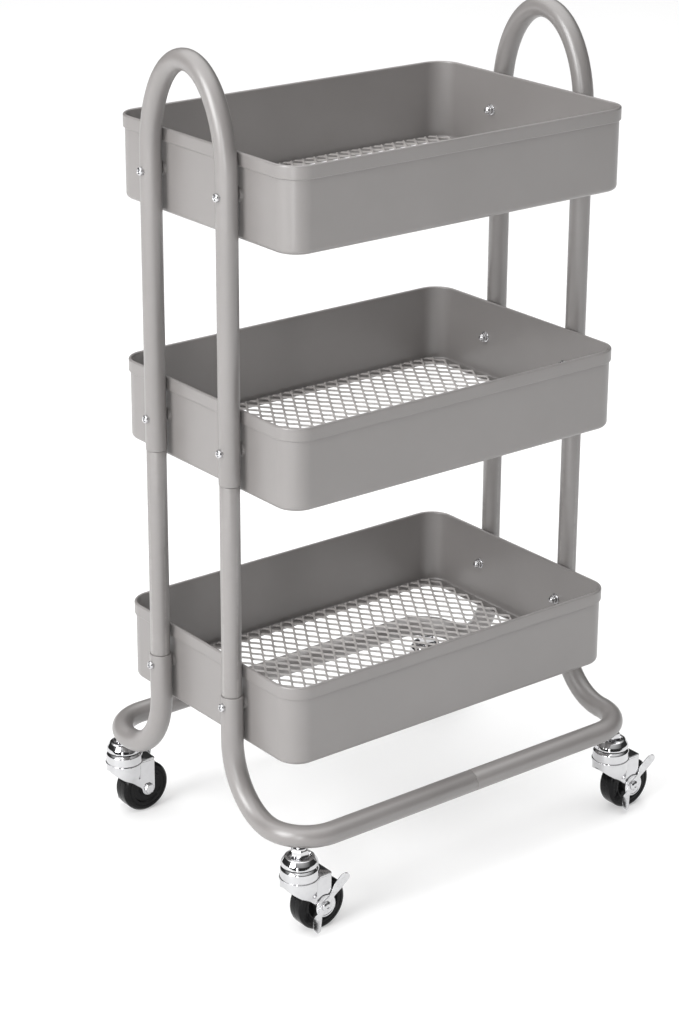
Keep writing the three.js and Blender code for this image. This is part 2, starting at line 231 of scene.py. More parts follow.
class Finish(Nodes):
    def __init__(self, name, **fixed):
        self.material = bpy.data.materials.new(name)
        self.material.use_nodes = True
        super().__init__(self.material.node_tree)
        self.shader = self.tree.nodes["Principled BSDF"]
        for socket, value in fixed.items():
            self.shader.inputs[socket.replace("_", " ")].default_value = value

    def place(self):
        return self.add("ShaderNodeTexCoord", output="Object")

    def noise(self, size, detail, rough, vector=None):
        # size is the width of one blotch in millimetres
        return self.add("ShaderNodeTexNoise", {}, {
            "Vector": vector or self.place(), "Scale": 1 / (size * mm), "Detail": detail, "Roughness": rough})

    def ramp(self, value, low, high):
        return self.add("ShaderNodeMapRange", {"clamp": True}, {
            "Value": value, "From Min": low, "From Max": high, "To Min": 0.0, "To Max": 1.0})

    def mix(self, factor, first, second):
        # sockets 6 and 7 are the two colours, and output 2 is the mixed one
        shades = {6: (*first, 1) if isinstance(first, tuple) else first,
                  7: (*second, 1) if isinstance(second, tuple) else second}
        return self.add("ShaderNodeMix", {"data_type": "RGBA"}, {0: factor, **shades}, output=2)

    def edges(self, low, high):
        # 0 in crevices and 1 on outer edges
        return self.ramp(self.add("ShaderNodeNewGeometry", output="Pointiness"), low, high)

    def surface(self, colour, roughness, height=None, look=None):
        self.feed(self.shader.inputs["Base Color"], colour)
        self.feed(self.shader.inputs["Roughness"], roughness)
        if height is not None:
            bump = self.add("ShaderNodeBump", {}, {
                "Strength": look["bump"], "Distance": look["bumpDepth"] * mm, "Height": height})
            self.feed(self.shader.inputs["Normal"], bump)
        return self.material


# in every look, sizes and depths are in millimetres, and a pair is where a mask starts and is full
paintLook = {
    "colour": (0.216, 0.204, 0.1995), "shade": (0.197, 0.186, 0.181), "lighterTone": (0.33, 0.315, 0.305),
    "roughness": 0.34, "roughClouds": 0.10, "roughScuffs": 0.05, "roughGrain": 0.08,
    "cloudSize": 90, "speckleSize": 0.5, "speckle": 0.3, "mottle": (0.36, 0.64),
    "scuffSize": 26, "scuffs": (0.60, 0.72), "highlightAndWearPatchSize": 7, "highlightAndWearEdges": (0.53, 0.62), "highlightAndWear": (0.35, 0.60),
    "highlightAndWearShare": 0.6, "peelSize": 1.1, "peel": 0.7, "grainSize": 0.28, "grain": 0.3,
    "bump": 0.16, "bumpDepth": 0.06,
}


def powderCoat(name, lift):
    # lift lightens the coat: painted light for the mesh strands, which catch more light than the pan
    look = paintLook
    colour, shade, lighterTone = (tuple(lift * part for part in look[key]) for key in ("colour", "shade", "lighterTone"))
    finish = Finish(name, Metallic=0.0, IOR=1.5, Specular_IOR_Level=1.0)
    clouds = finish.noise(look["cloudSize"], 4, 0.6)
    speckle = finish.noise(look["speckleSize"], 2, 0.5)
    peel = finish.noise(look["peelSize"], 2, 0.4)
    grain = finish.noise(look["grainSize"], 3, 0.6)
    mottle = finish.ramp(clouds * (1 - look["speckle"]) + speckle * look["speckle"], *look["mottle"])
    scuffs = finish.ramp(finish.noise(look["scuffSize"], 5, 0.7), *look["scuffs"])
    patches = finish.ramp(finish.noise(look["highlightAndWearPatchSize"], 4, 0.7), *look["highlightAndWear"])
    # outer edges are painted lighter in patches: partly a painted highlight along the edges, partly rubbed
    # wear
    highlightAndWear = finish.edges(*look["highlightAndWearEdges"]) * patches
    coat = finish.mix(highlightAndWear * look["highlightAndWearShare"], finish.mix(mottle, shade, colour), lighterTone)
    roughness = (look["roughness"] + (clouds - 0.5) * look["roughClouds"] + scuffs * look["roughScuffs"]
                 + (grain - 0.5) * look["roughGrain"])
    return finish.surface(coat, roughness, peel * look["peel"] + grain * look["grain"], look)


chromeLook = {
    "colour": (0.60, 0.60, 0.61), "dull": (0.47, 0.47, 0.48), "paintedCreviceShade": (0.05, 0.05, 0.052),
    "roughness": 0.04, "roughSmudge": 0.07, "roughHaze": 0.04, "roughPits": 0.2, "roughCrevice": 0.2,
    "smudgeSize": 9, "smudge": (0.45, 0.75), "smudgeShare": 0.35,
    "pitSize": 0.35, "pits": (0.70, 0.80), "pitShare": 0.5,
    "crevice": (0.38, 0.485), "creviceShadeShare": 0.85, "hazeSize": 3, "haze": 0.8, "pitDepth": 0.4,
    "bump": 0.10, "bumpDepth": 0.05,
}


def chromePlate():
    look = chromeLook
    finish = Finish("brightChromePlate", Metallic=1.0)
    smudge = finish.ramp(finish.noise(look["smudgeSize"], 5, 0.65), *look["smudge"])
    pits = finish.ramp(finish.noise(look["pitSize"], 2, 0.5), *look["pits"])
    haze = finish.noise(look["hazeSize"], 3, 0.6)
    # the dark colour in crevices is painted shade; the same mask also roughens them
    paintedCreviceShade = 1 - finish.edges(*look["crevice"])
    plated = finish.mix(smudge * look["smudgeShare"] + pits * look["pitShare"], look["colour"], look["dull"])
    colour = finish.mix(paintedCreviceShade * look["creviceShadeShare"], plated, look["paintedCreviceShade"])
    roughness = (look["roughness"] + smudge * look["roughSmudge"] + haze * look["roughHaze"]
                 + pits * look["roughPits"] + paintedCreviceShade * look["roughCrevice"])
    return finish.surface(colour, roughness, haze * look["haze"] - pits * look["pitDepth"], look)


steelLook = {
    "colour": (0.62, 0.62, 0.63), "dull": (0.42, 0.42, 0.43), "roughness": 0.17, "roughBlotch": 0.10,
    "roughLines": 0.08, "lineSize": 0.12, "lineStretch": 14, "blotchSize": 4, "blotch": (0.42, 0.70),
    "blotchShare": 0.4, "bump": 0.10, "bumpDepth": 0.03,
}


def pressedSteel():
    look = steelLook
    finish = Finish("zincPlatedSteel", Metallic=1.0)
    spread = finish.add("ShaderNodeMapping", {}, {
        "Vector": finish.place(), "Scale": (1.0, 1.0, look["lineStretch"])})
    lines = finish.noise(look["lineSize"] * look["lineStretch"], 3, 0.6, spread)
    blotch = finish.ramp(finish.noise(look["blotchSize"], 4, 0.6), *look["blotch"])
    colour = finish.mix(blotch * look["blotchShare"], look["colour"], look["dull"])
    roughness = look["roughness"] + blotch * look["roughBlotch"] + lines * look["roughLines"]
    return finish.surface(colour, roughness, lines, look)


wheelLook = {
    "colour": (0.006, 0.006, 0.0065), "scuffed": (0.030, 0.029, 0.028),
    "roughness": 0.09, "roughScuffs": 0.22, "roughDust": 0.08,
    "scuffSize": 2.2, "scuffs": (0.56, 0.72), "scuffShare": 0.30,
    "dustSize": 11, "dust": (0.45, 0.70), "dustShare": 0.15,
    "peelSize": 0.9, "scuffDepth": 0.3, "bump": 0.06, "bumpDepth": 0.05,
}


def mouldedWheel():
    look = wheelLook
    finish = Finish("glossBlackWheel", IOR=1.4, Specular_IOR_Level=0.2)
    scuffs = finish.ramp(finish.noise(look["scuffSize"], 5, 0.75), *look["scuffs"])
    dust = finish.ramp(finish.noise(look["dustSize"], 4, 0.6), *look["dust"])
    lighterTone = scuffs * look["scuffShare"] + dust * look["dustShare"]
    roughness = look["roughness"] + scuffs * look["roughScuffs"] + dust * look["roughDust"]
    height = finish.noise(look["peelSize"], 2, 0.5) + scuffs * look["scuffDepth"]
    return finish.surface(finish.mix(lighterTone, look["colour"], look["scuffed"]), roughness, height, look)


# the mesh coat is a lighter copy of the paint, painted light on its strands
paint, meshPaintLit = powderCoat("warmGreyPowderCoat", 1.0), powderCoat("warmGreyMeshCoatPaintedLight", 1.45)
chrome, steel, black = chromePlate(), pressedSteel(), mouldedWheel()
print("finishes are ready")


# tubes

tubes = {
    "wall": 1.2, "handleRadius": 9, "legRadius": 9.5, "archHeight": 84, "archSteps": 56,
    "legSweep": 52.5, "legBendHeight": 61, "cornerBendRadius": 37, "bendSteps": 20, "seamGap": 0.15,
    "spigotLength": 20, "socketClearance": 0.35, "spigotEdge": 0.4, "swageEdge": 0.2, "plugEdge": 0.6,
    "lip": 0.45, "lipSteps": 3, "sides": 36,
}


def arcThrough(centre, across, along, steps, share=math.pi / 2):
    return [centre + across * math.cos(share * k / steps) + along * math.sin(share * k / steps)
            for k in range(steps + 1)]


def tubeRings(path, reach):
    # reach is (path station, distance along it, radius); the rings roll as little as possible round a bend
    last, count = len(path) - 1, tubes["sides"]
    tangents = [(path[min(i + 1, last)] - path[max(i - 1, 0)]).normalized() for i in range(last + 1)]
    normal = tangents[0].orthogonal().normalized()
    frames = []
    for i, tangent in enumerate(tangents):
        if i:
            normal = tangents[i - 1].rotation_difference(tangent) @ normal
        frames.append((normal, tangent.cross(normal)))
    rings = []
    for spot, along, radius in reach:
        centre = path[spot] + tangents[spot] * along
        across, up = frames[spot]
        rings.append([centre + (across * math.cos(2 * math.pi * k / count)
                                + up * math.sin(2 * math.pi * k / count)) * radius for k in range(count)])
    return rings


def tube(path, radius):
    # a hollow tube along the path, with rounded lips at both open ends
    last, lip = len(path) - 1, tubes["lip"]
    turn = [math.pi / 2 * k / tubes["lipSteps"] for k in range(tubes["lipSteps"] + 1)]
    start = [(0, lip * (1 - math.cos(a)), radius - lip + lip * math.sin(a)) for a in turn]
    end = [(last, -lip * (1 - math.cos(a)), radius - lip + lip * math.sin(a)) for a in reversed(turn)]
    outside = start + [(i, 0, radius) for i in range(1, last)] + end
    inside = [(i, 0, radius - tubes["wall"]) for i in range(last, -1, -1)]
    return Form().loft(tubeRings(path, outside + inside), closed=True)


def buildHandle(end):
    low, high = boxOf(f"handle_{end}")
    postX, postY = (low.x + high.x) / 2, high.y - tubes["handleRadius"]
    archStart = high.z - tubes["handleRadius"] - tubes["archHeight"]
    arch = arcThrough(Vector((postX, 0, archStart)), Vector((0, -postY, 0)),
                      Vector((0, 0, tubes["archHeight"])), tubes["archSteps"], math.pi)
    path = [Vector((postX, -postY, low.z)), *arch, Vector((postX, postY, low.z))]
    tube(path, tubes["handleRadius"]).piece(f"handleHoop_{end}", paint, "cart", "paint", [f"handle_{end}"])


def buildMidPost(corner):
    # a straight tube, swaged at both ends to plug into the handle and the leg
    low, high = boxOf(f"mid_post_{corner}")
    radius, wall = (high.x - low.x) / 2, tubes["wall"]
    upper = tubes["handleRadius"] - wall - tubes["socketClearance"]
    lower = tubes["legRadius"] - wall - tubes["socketClearance"]
    top, bottom = high.z - tubes["spigotLength"], low.z + tubes["spigotLength"]
    profile = softened([
        (lower, low.z, tubes["spigotEdge"]), (lower, bottom, tubes["swageEdge"]),
        (radius, bottom, tubes["lip"]), (radius, top, tubes["lip"]),
        (upper, top, tubes["swageEdge"]), (upper, high.z, tubes["spigotEdge"]),
        (upper - wall, high.z), (upper - wall, low.z),
    ], closed=True, steps=3)
    place = Matrix.Translation(((low.x + high.x) / 2, (low.y + high.y) / 2, 0))
    Form().turned(profile, place, tubes["sides"], closed=True).piece(
        f"midPostTube_{corner}", paint, "cart", "paint", [f"mid_post_{corner}"])


def buildBaseLeg(corner, end, side):
    low, high = boxOf(f"base_leg_{corner}")
    radius = tubes["legRadius"]
    outX = max(abs(low.x), abs(high.x)) - radius
    baseY = max(abs(low.y), abs(high.y)) - radius
    postY = min(abs(low.y), abs(high.y)) + radius
    level = low.z + radius
    sweep, rise, bend = tubes["legSweep"], tubes["legBendHeight"], tubes["cornerBendRadius"]
    down = arcThrough(Vector((end * outX, side * (postY + sweep), level + rise)),
                      Vector((0, -side * sweep, 0)), Vector((0, 0, -rise)), tubes["bendSteps"])
    turn = arcThrough(Vector((end * (outX - bend), side * (baseY - bend), level)),
                      Vector((end * bend, 0, 0)), Vector((0, side * bend, 0)), tubes["bendSteps"])
    seam = Vector((end * tubes["seamGap"], side * baseY, level))
    form = tube([Vector((end * outX, side * postY, high.z)), *down, *turn[1:], seam], radius)
    if end < 0:  # the left leg carries the plug that joins it to the right one
        plug, reach = radius - tubes["wall"] - tubes["socketClearance"], tubes["spigotLength"]
        profile = softened([(plug, -reach), (plug, reach, tubes["plugEdge"]), (plug - tubes["wall"], reach),
                            (plug - tubes["wall"], -reach)], closed=True, steps=3)
        place = Matrix.Translation((0, side * baseY, level)) @ turnTo((1, 0, 0))
        form.turned(profile, place, tubes["sides"], closed=True)
    form.piece(f"baseLegTube_{corner}", paint, "cart", "paint", [f"base_leg_{corner}"])


for end in ends:
    buildHandle(end)
for corner, end, side in corners:
    buildMidPost(corner)
    buildBaseLeg(corner, end, side)
print("tubes are bent")


# trays

tray = {
    "wall": 1.5, "standOut": 1.5, "rimHeight": 11, "rimEdge": 1.5, "rimInnerEdge": 1.45, "bandEdge": 0.7,
    "bandSlope": 0.5, "creaseEdge": 0.6, "bottomEdge": 4, "bottomInnerEdge": 1.7,
    "flange": 12, "flangeEdge": 0.6, "flangeCorner": 20.5, "flangeStart": 3,
    "cornerRadius": 22, "cornerSteps": 14, "edgeSteps": 6, "screwDrop": 34,
    "bossRadius": 5, "bossFoot": 6.4, "bossShort": 0.2, "bossFlare": 0.3, "bossTaper": 0.6, "bossWaist": 0.45,
    "bossWaistEdge": 0.8, "bossEdge": 0.5, "bossSides": 32,
}


def buildTray(level):
    low, high = boxOf(f"tray_{level}")
    halfX, halfY, top, bottom = high.x, high.y, high.z, low.z
    out, inner = tray["standOut"], tray["standOut"] + tray["wall"]
    lip = out + tray["flange"]
    band = top - tray["rimHeight"]
    inside = bottom + tray["wall"]
    section = softened([  # x is the distance in from the rim's face
        (0, top, tray["rimEdge"]), (0, band, tray["bandEdge"]),
        (out, band - tray["bandSlope"], tray["creaseEdge"]), (out, bottom, tray["bottomEdge"]),
        (lip, bottom, tray["flangeEdge"]), (lip, inside, tray["flangeEdge"]),
        (inner, inside, tray["bottomInnerEdge"]), (inner, top, tray["rimInnerEdge"]),
    ], closed=True, steps=tray["edgeSteps"])
    rings = []
    for inset, z in section:
        flangePart = max(0, (inset - inner - tray["flangeStart"]) / (lip - inner - tray["flangeStart"]))
        radius = tray["cornerRadius"] - inset
        radius += (tray["flangeCorner"] - radius) * flangePart
        loop = roundedLoop(halfX - inset, halfY - inset, radius, tray["cornerSteps"])
        rings.append([(x, y, z) for x, y in loop])
    form = Form().loft(rings, closed=True)
    wallFace, height, root = halfX - out, out - tray["bossShort"], -tray["wall"] / 2
    boss = softened([
        (0, root), (tray["bossFoot"], root), (tray["bossFoot"], 0),
        (tray["bossRadius"] + tray["bossFlare"], height * tray["bossWaist"], tray["bossWaistEdge"]),
        (tray["bossRadius"] - tray["bossTaper"], height, tray["bossEdge"]), (0, height),
    ], steps=4)
    for corner, end, side in corners:
        postLow, postHigh = boxOf(f"mid_post_{corner}")
        spot = (end * wallFace, (postLow.y + postHigh.y) / 2, top - tray["screwDrop"])
        form.turned(boss, Matrix.Translation(spot) @ turnTo((end, 0, 0)), tray["bossSides"])
    form.piece(f"trayPan_{level}", paint, "cart", "paint", [f"tray_{level}"], weighted=True)


meshFloor = {
    "longPitch": 19.9, "shortPitch": 12.6, "strand": 1.9, "thickness": 0.9, "rise": 0.45, "tilt": 30,
    "nest": 0.42, "knuckle": 1.6, "lift": 0.5, "endRoom": 0.2, "cornerCentre": (156, 100), "cornerRoom": 17,
}


def swingAt(y, ribbon):
    # which way a strand leans at y: 1 and -1 where it meets its neighbours, and flat there
    halfLong = meshFloor["longPitch"] / 2
    knot = math.floor(y / halfLong)
    flat = meshFloor["knuckle"] / 2
    share = min(1, max(0, (y - knot * halfLong - flat) / (halfLong - 2 * flat)))
    return (1 - 2 * share) * (1 if (knot + ribbon) % 2 == 0 else -1)


def buildFloor(level):
    # strands side by side, each zigzagging between its neighbours, cut to the tray's rounded corners
    low, high = boxOf(f"mesh_floor_{level}")
    halfLong, halfShort = meshFloor["longPitch"] / 2, meshFloor["shortPitch"] / 2
    ribbons = int((high.x - halfShort / 2) / halfShort)
    centreZ = (low.z + high.z) / 2 + meshFloor["lift"]
    tilt = math.radians(meshFloor["tilt"])
    across = Vector((math.cos(tilt), 0, math.sin(tilt))) * meshFloor["strand"] / 2
    through = Vector((-math.sin(tilt), 0, math.cos(tilt))) * meshFloor["thickness"] / 2
    reachX = halfShort / 2 - meshFloor["strand"] * meshFloor["nest"]
    centreX, centreY = meshFloor["cornerCentre"]
    form = Form()
    for ribbon in range(-ribbons, ribbons + 1):
        beyond = max(0, abs(ribbon) * halfShort + reachX - centreX)
        reachY = min(high.y, centreY + math.sqrt(max(0, meshFloor["cornerRoom"] ** 2 - beyond ** 2)))
        knots = range(-int(reachY / halfLong) - 1, int(reachY / halfLong) + 2)
        stations = [knot * halfLong + shift for knot in knots
                    for shift in (-meshFloor["knuckle"] / 2, meshFloor["knuckle"] / 2)]
        between = [y for y in stations if abs(y) < reachY - meshFloor["endRoom"]]
        rings = []
        for y in [-reachY, *between, reachY]:
            swing = swingAt(y, ribbon)
            centre = Vector((ribbon * halfShort + swing * reachX, y, centreZ + swing * meshFloor["rise"]))
            rings.append([centre + across + through, centre + across - through,
                          centre - across - through, centre - across + through])
        form.loft(rings, capped=True)
    form.piece(f"meshSheet_{level}", meshPaintLit, "cart", "paint", [f"mesh_floor_{level}"], sharp=25)


for level in levels:
    buildTray(level)
    buildFloor(level)
print("trays and mesh floors are made")


# screws and domed nuts; a profile's points are (radius, height, rounding)

screw = {
    "headHeight": 2.6, "shank": 1.75, "tipEdge": 0.4, "steps": 42,
    "head": [(1.75, -1.3), (3.5, -1.3), (3.5, 1.2, 0.8), (3.1, 2.3, 0.7), (2.0, 2.6)],
    "socket": [(2.0, 2.6), (1.75, 2.45), (1.75, 1.1), (0, 0.6)],
}
nut = {
    "wallGap": 0.3, "steps": 42, "domeRadius": 3.5, "domeBase": 3.5, "domeHeight": 3.6, "domeSteps": 8,
    "washer": [(0, 0), (4.9, 0, 0.25), (4.9, 0.8, 0.35), (3.44, 1.1), (0, 1.1)],
    "hex": [(0, 0.6), (4.3, 0.6), (4.3, 3.5, 0.3), (3.15, 3.9), (0, 3.9)],
}


def buildScrew(name, end):
    low, high = boxOf(name)
    seat = (low.x if end < 0 else high.x) - end * screw["headHeight"]
    length = high.x - low.x - screw["headHeight"]
    place = Matrix.Translation((seat, (low.y + high.y) / 2, (low.z + high.z) / 2)) @ turnTo((end, 0, 0))
    shank = [(0, -length), (screw["shank"], -length, screw["tipEdge"])]
    form = Form().turned(softened([*shank, *screw["head"]], steps=4), place, screw["steps"])
    form.turned(screw["socket"], place, screw["steps"])
    form.piece(f"panHead_{name}", steel, "cart", "steel", [name])


def buildNut(name, end):
    low, high = boxOf(name)
    seat = (low.x if end < 0 else high.x) + end * nut["wallGap"]
    place = Matrix.Translation((seat, (low.y + high.y) / 2, (low.z + high.z) / 2)) @ turnTo((-end, 0, 0))
    dome = [(nut["domeRadius"] * math.cos(a), nut["domeBase"] + nut["domeHeight"] * math.sin(a))
            for a in [math.pi / 2 * k / nut["domeSteps"] for k in range(nut["domeSteps"] + 1)]]
    form = Form().turned(softened(nut["washer"], steps=3), place, nut["steps"])
    form.turned(softened(nut["hex"], steps=3), place, nut["steps"], flats=6)
    form.turned([(0, nut["domeBase"]), *dome], place, nut["steps"])
    form.piece(f"domeNut_{name}", steel, "cart", "steel", [name])


for level in levels:
    for corner, end, side in corners:
        buildScrew(f"screw_{level}_{corner}", end)
        buildNut(f"nut_{level}_{corner}", end)
print("fasteners are in")


# casters are drawn about the swivel axis, the wheel trailing along +X

caster = {"trail": 18, "axleHeight": 23.5, "raceRadius": 16.5, "raceTop": 63}
fork = {
    "plateY": 11.6, "sheet": 1.6, "sharp": 28, "rows": 16, "tipRadius": 6.5, "tipSteps": 12, "creaseX": 7,
    "creaseSteps": [(3.7, 1.4), (2.4, 2.9)],  # behind the crease, and above the axle
    "frontSteps": 24, "frontDrop": 4.5, "edgeLift": 4.8, "edgeCurve": 1.35, "bulgeTop": 45, "bulgeBottom": 29,
}
crown = {
    "bottom": 51, "thickness": 2, "ledge": 0.7, "rearCorner": 2, "frontSteps": 48, "taperX": 20, "taperY": 14,
    "layers": [(0.5, 0), (0, 0.4), (0, 1.3), (0.2, 1.75), (0.7, 2)],  # inset and height
    "race": [(5.4, 0.5), (16.3, 0.5), (16.5, 3.0, 1.5), (16.3, 9.6, 1.6), (14.3, 11.9, 0.5), (5.4, 11.9)],
    # the black ring under the cap is a painted shadow line
    "shadowRing": [(11, -0.8), (14.6, -0.8), (14.6, 0.15, 0.1), (11, 0.15)], "steps": 64,
}


def forkColumns():
    # plan stations from the rear edge of one cheek, round the front to the rear edge of the other
    tip, crease = fork["tipRadius"], fork["creaseX"]
    axleZ, radius = caster["axleHeight"], caster["raceRadius"]
    columns = []
    for k in range(fork["tipSteps"] + 1):
        angle = math.pi * k / fork["tipSteps"]
        columns.append((caster["trail"] + tip * math.cos(angle), None, axleZ - tip * math.sin(angle)))
    columns += [(crease + behind, None, axleZ + above) for behind, above in fork["creaseSteps"]]
    start = math.acos(crease / radius)
    lowest = crown["bottom"] - fork["frontDrop"]
    for k in range(fork["frontSteps"] + 1):
        share = 1 - k / fork["frontSteps"]
        angle = start + (math.pi - start) * (1 - share)
        drop = (lowest - axleZ - fork["edgeLift"]) * share ** fork["edgeCurve"]
        columns.append((radius * math.cos(angle), radius * math.sin(angle), lowest - drop))
    return [(*column, 1) for column in columns] + [(*column, -1) for column in reversed(columns[:-1])]


def buildCheeks(corner, place):
    top, plateY = crown["bottom"] + crown["thickness"] / 2, fork["plateY"]
    rings = []
    for row in range(fork["rows"] + 1):
        ring = []
        for x, roundY, lowest, side in forkColumns():
            z = top + (lowest - top) * row / fork["rows"]
            y = plateY
            if roundY is not None:  # the skirt bulges over the plates near the crown
                bulge = smooth(z, fork["bulgeBottom"], fork["bulgeTop"])
                y = roundY if roundY < plateY else plateY + (roundY - plateY) * bulge
            ring.append(place @ Vector((x, side * y, z)))
        rings.append(ring)
    Form().loft(rings, around=False).piece(
        f"forkCheeks_{corner}", chrome, f"caster_{corner}", "chrome", [f"caster_fork_{corner}"],
        sharp=fork["sharp"], sheet=fork["sheet"])


def buildCrown(corner, place):
    # the plate over the wheel, the race that it carries, and a black ring on top that paints the shadow line
    # under the cap
    halfY, radius = fork["plateY"] + crown["ledge"], caster["raceRadius"] + crown["ledge"]
    rear = caster["trail"] + fork["tipRadius"] + crown["ledge"]
    start = math.asin(halfY / radius)
    steps, rounding = crown["frontSteps"], crown["rearCorner"]
    angles = [start + (2 * math.pi - 2 * start) * k / steps for k in range(steps + 1)]
    plan = [(radius * math.cos(angle), radius * math.sin(angle)) for angle in angles]
    plan += softened([plan[-1], (rear, -halfY, rounding), (rear, halfY, rounding), plan[0]])[1:-1]
    rings = []
    for inset, z in crown["layers"]:
        shareX, shareY = 1 - inset / crown["taperX"], 1 - inset / crown["taperY"]
        rings.append([place @ Vector((x * shareX, y * shareY, crown["bottom"] + z)) for x, y in plan])
    form = Form().loft(rings, capped=True)
    race = softened(raised(crown["race"], crown["bottom"]), closed=True, steps=4)
    form.turned(race, place, crown["steps"], closed=True)
    form.piece(f"crownRace_{corner}", chrome, f"caster_{corner}", "chrome")
    shadowRing = softened(raised(crown["shadowRing"], caster["raceTop"]), closed=True, steps=3)
    Form().turned(shadowRing, place, crown["steps"], closed=True).piece(
        f"paintedShadowRing_{corner}", black, f"caster_{corner}", "wheel_black")


stem = {
    "capGap": 0.3, "neck": 6.4, "pin": 4.5, "pinEdge": 0.8, "pinStart": 0.4, "steps": 64, "hexSteps": 48,
    "foot": [(0, 0), (7.5, 0, 0.8), (7.5, 2.6, 0.4), (5, 2.6)],  # from the stem's lower end
    "cap": [  # from just above the race
        (5, 0), (13.4, 0, 0.3), (15.8, 0.9, 0.5), (15.9, 2.0, 0.7), (15.2, 4.4, 2.6), (12.6, 8.2, 1.6),
        (11, 9, 0.7), (10.1, 8.6, 0.5), (9.3, 5.8, 1.2), (6.4, 5.4),
    ],
    "hexBelow": [(6.0, 5), (7.9, 5)],  # from the cap's base
    "hexAbove": [(7.9, -1.8, 0.5), (6.9, -0.6, 0.3), (6.0, -0.6)],  # from the underside of the base tube
}


def buildStem(corner, place):
    low, high = boxOf(f"caster_stem_{corner}")
    tubeBottom = boxOf(f"base_leg_{corner}")[0].z
    capBase, pinBase = caster["raceTop"] + stem["capGap"], tubeBottom + stem["pinStart"]
    pin = [(stem["neck"], pinBase), (stem["pin"], pinBase),
           (stem["pin"], high.z, stem["pinEdge"]), (0, high.z)]
    profile = [*raised(stem["foot"], low.z), *raised(stem["cap"], capBase), *pin]
    form = Form().turned(softened(profile, steps=4), place, stem["steps"])
    hexagon = [*raised(stem["hexBelow"], capBase), *raised(stem["hexAbove"], tubeBottom)]
    form.turned(softened(hexagon, closed=True, steps=2), place, stem["hexSteps"], closed=True, flats=6)
    form.piece(f"stemCap_{corner}", chrome, "cart", "chrome", [f"caster_stem_{corner}"])


wheel = {
    "half": 9, "steps": 96, "sharp": 40,
    "side": [  # radius, depth below the hub's face, rounding
        (3.15, 0), (7.6, 0, 0.5), (8.3, 1.5, 0.5), (14.2, 1.5, 0.8), (15.2, 0.25, 0.5),  # hub and web
        (17.7, 0.2, 0.1), (17.9, 0.7, 0.1), (18.5, 0.75, 0.1), (18.7, 0.25, 0.1),  # groove
        (21.2, 0.5, 1.2), (23.5, 2.6, 2.2), (23.5, 8.65, 0.1), (23.35, 8.88, 0.05),  # tread, to its middle
    ],
}


def buildWheel(corner, axle):
    oneSide = [(radius, wheel["half"] - depth, *rest) for radius, depth, *rest in wheel["side"]]
    other = [(radius, -height, *rest) for radius, height, *rest in reversed(oneSide)]
    place = Matrix.Translation(axle) @ turnTo((0, 1, 0))
    form = Form().turned(softened([*oneSide, *other], closed=True), place, wheel["steps"], closed=True)
    form.piece(f"wheelTyre_{corner}", black, f"wheel_{corner}", "wheel_black", [f"caster_wheel_{corner}"],
               sharp=wheel["sharp"])


axleBolt = {
    "steps": 48,
    "washer": [(0, 2.6), (5, 2.6), (5, 2.1, 0.2), (2.9, 2.1)],  # this and the nut are from the plain end
    "nut": [(0, 2.4), (4.9, 2.4), (4.9, 0.5, 0.2), (4.2, 0, 0.2), (0, 0)],
    "head": [(2.9, -2.7), (4.4, -2.7), (4.4, -1.7, 0.5), (2.6, -0.5, 0.8),  # from the end at the brake lever
             (1.5, -0.35, 0.4), (0.9, -0.9, 0.3), (0, -0.9)],
}


def buildAxle(corner, axle, side):
    low, high = boxOf(f"caster_axle_{corner}")
    leverEnd, plainEnd = (high.y, low.y) if side > 0 else (low.y, high.y)
    leverReach, plainReach = abs(leverEnd - axle.y), -abs(plainEnd - axle.y)
    place = Matrix.Translation(axle) @ turnTo((0, side, 0))
    bolt = softened([*raised(axleBolt["washer"], plainReach), *raised(axleBolt["head"], leverReach)], steps=4)
    form = Form().turned(bolt, place, axleBolt["steps"])
    form.turned(softened(raised(axleBolt["nut"], plainReach), steps=3), place, axleBolt["steps"], flats=6)
    form.piece(f"axleBolt_{corner}", steel, f"caster_{corner}", "steel", [f"caster_axle_{corner}"])


lever = {
    "upper": 33, "lower": 23, "angle": 55, "inner": 11.9, "thickness": 1.1, "sunk": 0.35, "stations": 56,
    "waist": 2.5, "root": 1.6, "rootRun": (2, 9), "tab": 5.0, "tabStart": (0.30, 0.62), "tipWidth": 0.05,
    "flare": 5.29, "flareStart": (0.50, 1.12), "bow": 1.6, "crown": 0.5, "crownStart": (0.45, 0.8),
    "edge": 0.28, "edgeStart": 0.66, "sharp": 45, "hubSteps": 64,
    "hub": [(3.2, 0), (10, 0, 0.2), (10, 0.95, 0.35), (8.8, 0.95, 0.3), (8.3, 0.7, 0.3), (5.2, 0.7, 0.2),
            (4.9, 1.05, 0.2), (3.2, 1.05)],
}


def leverSection(run):
    # half width, sideways bow, stand-out and hump at a distance along the lever from the axle
    arm = lever["upper"] if run > 0 else lever["lower"]
    part, cap = abs(run) / arm, arm - lever["tab"]
    width = lever["waist"] + (lever["tab"] - lever["waist"]) * smooth(part, *lever["tabStart"])
    width += lever["root"] * (1 - smooth(abs(run), *lever["rootRun"]))
    if abs(run) > cap:
        width *= math.sqrt(max(0, 1 - ((abs(run) - cap) / lever["tab"]) ** 2))
    whole = lever["upper"] + lever["lower"]
    bow = lever["bow"] * math.sin(2 * math.pi * (run + lever["lower"]) / whole)
    standOut = lever["inner"] + lever["sunk"] + lever["flare"] * smooth(part, *lever["flareStart"])
    return max(width, lever["tipWidth"]), bow, standOut, lever["crown"] * smooth(part, *lever["crownStart"])


